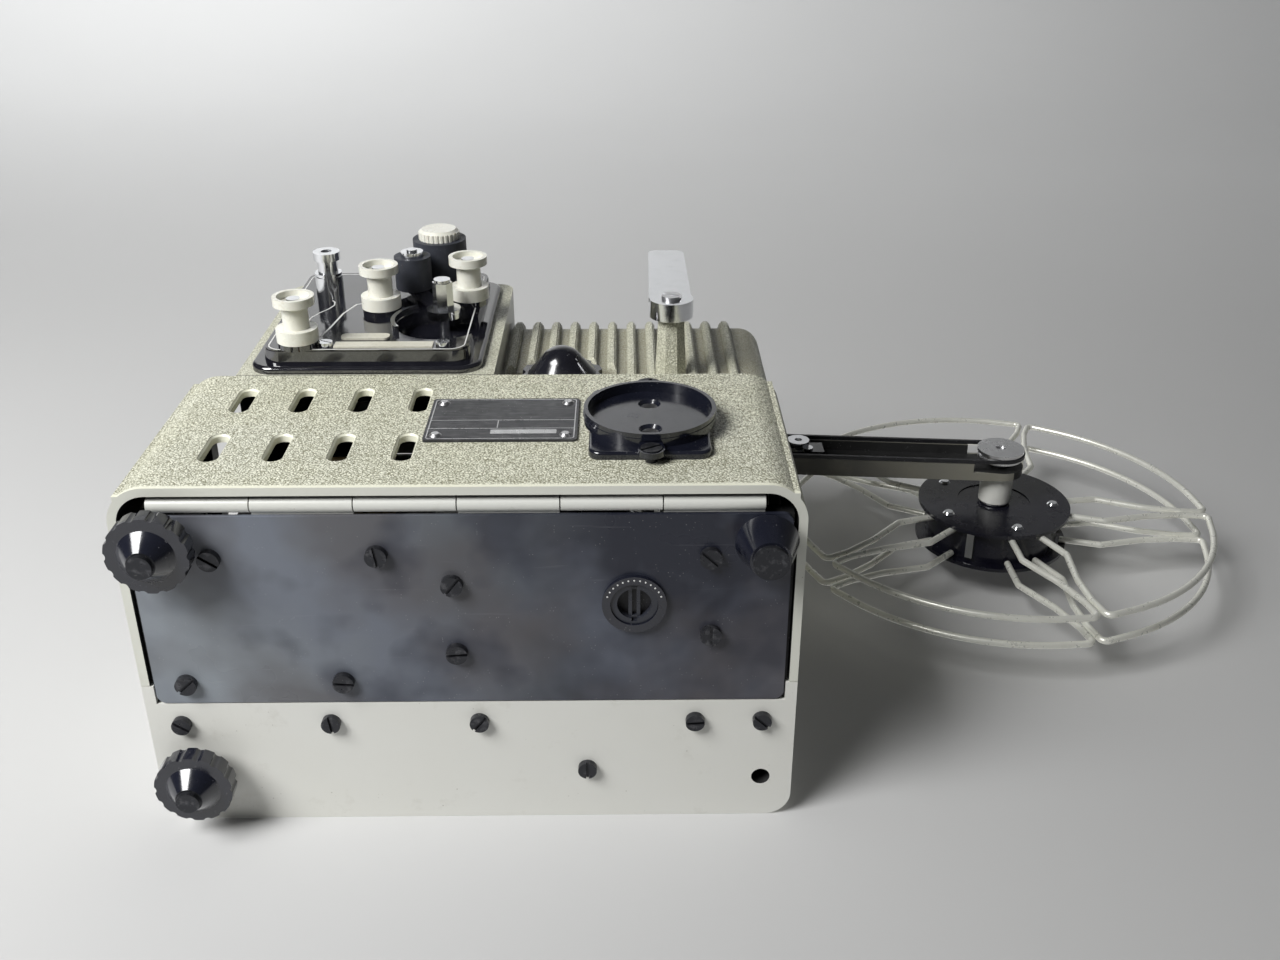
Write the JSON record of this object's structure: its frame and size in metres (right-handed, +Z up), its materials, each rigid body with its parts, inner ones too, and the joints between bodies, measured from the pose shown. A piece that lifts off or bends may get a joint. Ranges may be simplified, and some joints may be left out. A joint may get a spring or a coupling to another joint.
{
  "type": "film projector",
  "caption": "Portable cine projector on screw feet: hammered body, tape panel with rollers, lever switch, hinged side cover, folding reel arms and an open wire take-up reel.",
  "frame": {"origin": "middle of the fixed foot's pad, on the plane that the feet stand on", "axes": "+X towards the take-up arm, -Y the side with the hinged cover and tape panel, +Y the film side, +Z up"},
  "size_m": [0.397, 0.1499, 0.3126],
  "materials": {
    "arm_paint": "painted",
    "bakelite": "gloss",
    "black_screw": "blackened",
    "chrome": "polished",
    "cream_paint": "hammered",
    "cream_plastic": "gloss",
    "dark_metal": "satin",
    "glass": "clear",
    "grey_plastic": "matte",
    "hinge_paint": "painted",
    "laminations": "varnished",
    "mirror": "polished",
    "nameplate": "printed",
    "panel_black": "gloss",
    "plate_blue": "gloss",
    "reel_black": "gloss",
    "rubber": "matte",
    "smooth_paint": "painted",
    "steel": "machined",
    "wire": "plated"
  },
  "bodies": {
    "body": {"bottom_plate": "plate_blue", "condenser": "dark_metal", "drive_belt": "rubber", "film_gate": "chrome", "fixed_foot": "bakelite", "hinge_leaf_fixed": "hinge_paint", "lamp_house": "cream_paint", "lamp_socket": "dark_metal", "main_casting": "smooth_paint", "mechanism_plate": "smooth_paint", "motor": "dark_metal", "panel_brightwork": "chrome", "projection_lamp": "glass", "reflector": "mirror", "selector_bezel": "bakelite", "tape_panel_base": "panel_black", "tape_panel_face": "panel_black", "tape_post": "chrome", "transformer": "laminations", "underside_screws": "black_screw", "upper_housing": "cream_paint"},
    "cover": {"side_cover": "cream_paint", "hinge_leaf_cover": "hinge_paint", "nameplate": "nameplate", "power_connector": "bakelite", "connector_collar": "bakelite", "cover_fasteners": "steel"},
    "foot_cover_side": {"levelling_foot_cover_side": "bakelite"},
    "foot_film_side": {"levelling_foot_film_side": "bakelite"},
    "selector": {"selector_dial": "grey_plastic"},
    "roller_lower": {"guide_roller_lower": "cream_plastic"},
    "roller_middle": {"guide_roller_middle": "cream_plastic"},
    "roller_upper": {"guide_roller_upper": "cream_plastic"},
    "pinch_arm": {"pinch_lever": "chrome"},
    "pinch_wheel": {"pinch_roller": "rubber"},
    "capstan": {"capstan_roller": "rubber", "capstan_knob": "cream_plastic"},
    "rotor": {"motor_rotor": "steel", "inching_knob": "bakelite"},
    "switch": {"switch_lever": "chrome", "lever_shaft": "steel"},
    "drive": {"main_shaft": "steel", "drum_shutter": "dark_metal"},
    "upper_sprocket": {"sprocket_upper": "steel"},
    "lower_sprocket": {"sprocket_lower": "steel"},
    "claw_lever": {"claw": "steel"},
    "gate_door": {"lens_carrier": "dark_metal", "pressure_plate": "chrome"},
    "lens": {"lens_barrel": "dark_metal", "lens_glass": "glass"},
    "rear_roller": {"film_roller": "cream_plastic"},
    "rear_arm": {"take_up_arm": "arm_paint", "arm_latch": "chrome", "arm_belt": "rubber"},
    "arm_drive": {"arm_pulley": "steel"},
    "reel": {"take_up_spindle": "chrome", "reel_hub": "reel_black", "reel_flanges": "wire"},
    "front_arm": {"supply_arm": "arm_paint"},
    "front_spindle": {"supply_spindle": "chrome"}
  },
  "joints": [
    {"name": "cover_hinge", "type": "hinge", "parent": "body", "child": "cover", "pos_m": [-0.0898, -0.01, 0.0195], "axis": [1, 0, 0], "range_deg": [0, 90]},
    {"name": "levelling_foot_cover_side_screw", "type": "slide", "parent": "body", "child": "foot_cover_side", "axis": [0, 0, 1], "range_m": [-0.004, 0]},
    {"name": "levelling_foot_film_side_screw", "type": "slide", "parent": "body", "child": "foot_film_side", "axis": [0, 0, 1], "range_m": [-0.004, 0]},
    {"name": "voltage_selector_turn", "type": "hinge", "parent": "body", "child": "selector", "pos_m": [-0.0387, 0.023, 0.017], "axis": [0, 0, 1], "range_deg": [0, 180]},
    {"name": "guide_roller_lower_spin", "type": "hinge", "parent": "body", "child": "roller_lower", "pos_m": [-0.1543, -0.0335, 0.1103], "axis": [0, 1, 0], "continuous": true},
    {"name": "guide_roller_middle_spin", "type": "hinge", "parent": "body", "child": "roller_middle", "pos_m": [-0.1308, -0.0335, 0.144], "axis": [0, 1, 0], "continuous": true},
    {"name": "guide_roller_upper_spin", "type": "hinge", "parent": "body", "child": "roller_upper", "pos_m": [-0.0993, -0.0335, 0.154], "axis": [0, 1, 0], "continuous": true},
    {"name": "pinch_lever_swing", "type": "hinge", "parent": "body", "child": "pinch_arm", "pos_m": [-0.1073, -0.0255, 0.139], "axis": [0, 1, 0], "range_deg": [0, 8]},
    {"name": "pinch_roller_spin", "type": "hinge", "parent": "pinch_arm", "child": "pinch_wheel", "pos_m": [-0.1213, -0.0325, 0.163], "axis": [0, 1, 0], "continuous": true},
    {"name": "capstan_spin", "type": "hinge", "parent": "body", "child": "capstan", "pos_m": [-0.1133, -0.0325, 0.1818], "axis": [0, 1, 0], "continuous": true},
    {"name": "main_shaft_spin", "type": "hinge", "parent": "body", "child": "drive", "pos_m": [-0.1018, 0.0445, 0.147], "axis": [0, 1, 0], "continuous": true},
    {"name": "motor_spin", "type": "hinge", "parent": "body", "child": "rotor", "pos_m": [-0.0636, 0.0445, 0.117], "axis": [0, 1, 0], "continuous": true},
    {"name": "upper_sprocket_spin", "type": "hinge", "parent": "body", "child": "upper_sprocket", "pos_m": [-0.1118, 0.0745, 0.18], "axis": [0, 1, 0], "continuous": true},
    {"name": "lower_sprocket_spin", "type": "hinge", "parent": "body", "child": "lower_sprocket", "pos_m": [-0.1118, 0.0745, 0.116], "axis": [0, 1, 0], "continuous": true},
    {"name": "claw_swing", "type": "hinge", "parent": "body", "child": "claw_lever", "pos_m": [-0.1233, 0.0695, 0.123], "axis": [0, 1, 0], "range_deg": [-2, 2]},
    {"name": "switch_lever_turn", "type": "hinge", "parent": "body", "child": "switch", "pos_m": [-0.0246, -0.0335, 0.1245], "axis": [0, 1, 0], "range_deg": [-50, 50]},
    {"name": "gate_door_swing", "type": "hinge", "parent": "body", "child": "gate_door", "pos_m": [-0.1738, 0.0649, 0.147], "axis": [0, 0, 1], "range_deg": [0, 60]},
    {"name": "lens_focus", "type": "slide", "parent": "gate_door", "child": "lens", "axis": [1, 0, 0], "range_m": [-0.004, 0.001]},
    {"name": "film_roller_spin", "type": "hinge", "parent": "body", "child": "rear_roller", "pos_m": [0.0022, 0.0805, 0.109], "axis": [0, 1, 0], "continuous": true},
    {"name": "take_up_arm_swing", "type": "hinge", "parent": "body", "child": "rear_arm", "pos_m": [-0.0038, 0.0525, 0.1843], "axis": [0, -1, 0], "range_deg": [0, 92]},
    {"name": "arm_pulley_spin", "type": "hinge", "parent": "body", "child": "arm_drive", "pos_m": [-0.0038, 0.0495, 0.1843], "axis": [0, 1, 0], "continuous": true},
    {"name": "reel_spin", "type": "hinge", "parent": "rear_arm", "child": "reel", "pos_m": [0.1156, 0.0745, 0.174], "axis": [0, 1, 0], "continuous": true},
    {"name": "supply_arm_swing", "type": "hinge", "parent": "body", "child": "front_arm", "pos_m": [-0.1598, 0.0525, 0.183], "axis": [0, -1, 0], "range_deg": [0, 90]},
    {"name": "supply_spindle_spin", "type": "hinge", "parent": "front_arm", "child": "front_spindle", "pos_m": [-0.1598, 0.0745, 0.3028], "axis": [0, 1, 0], "continuous": true}
  ],
  "couplings": [
    {"joint": "motor_spin", "follows": "main_shaft_spin", "ratio": 3.3333},
    {"joint": "upper_sprocket_spin", "follows": "main_shaft_spin", "ratio": 0.08333},
    {"joint": "lower_sprocket_spin", "follows": "main_shaft_spin", "ratio": 0.08333},
    {"joint": "arm_pulley_spin", "follows": "reel_spin", "ratio": 1}
  ]
}
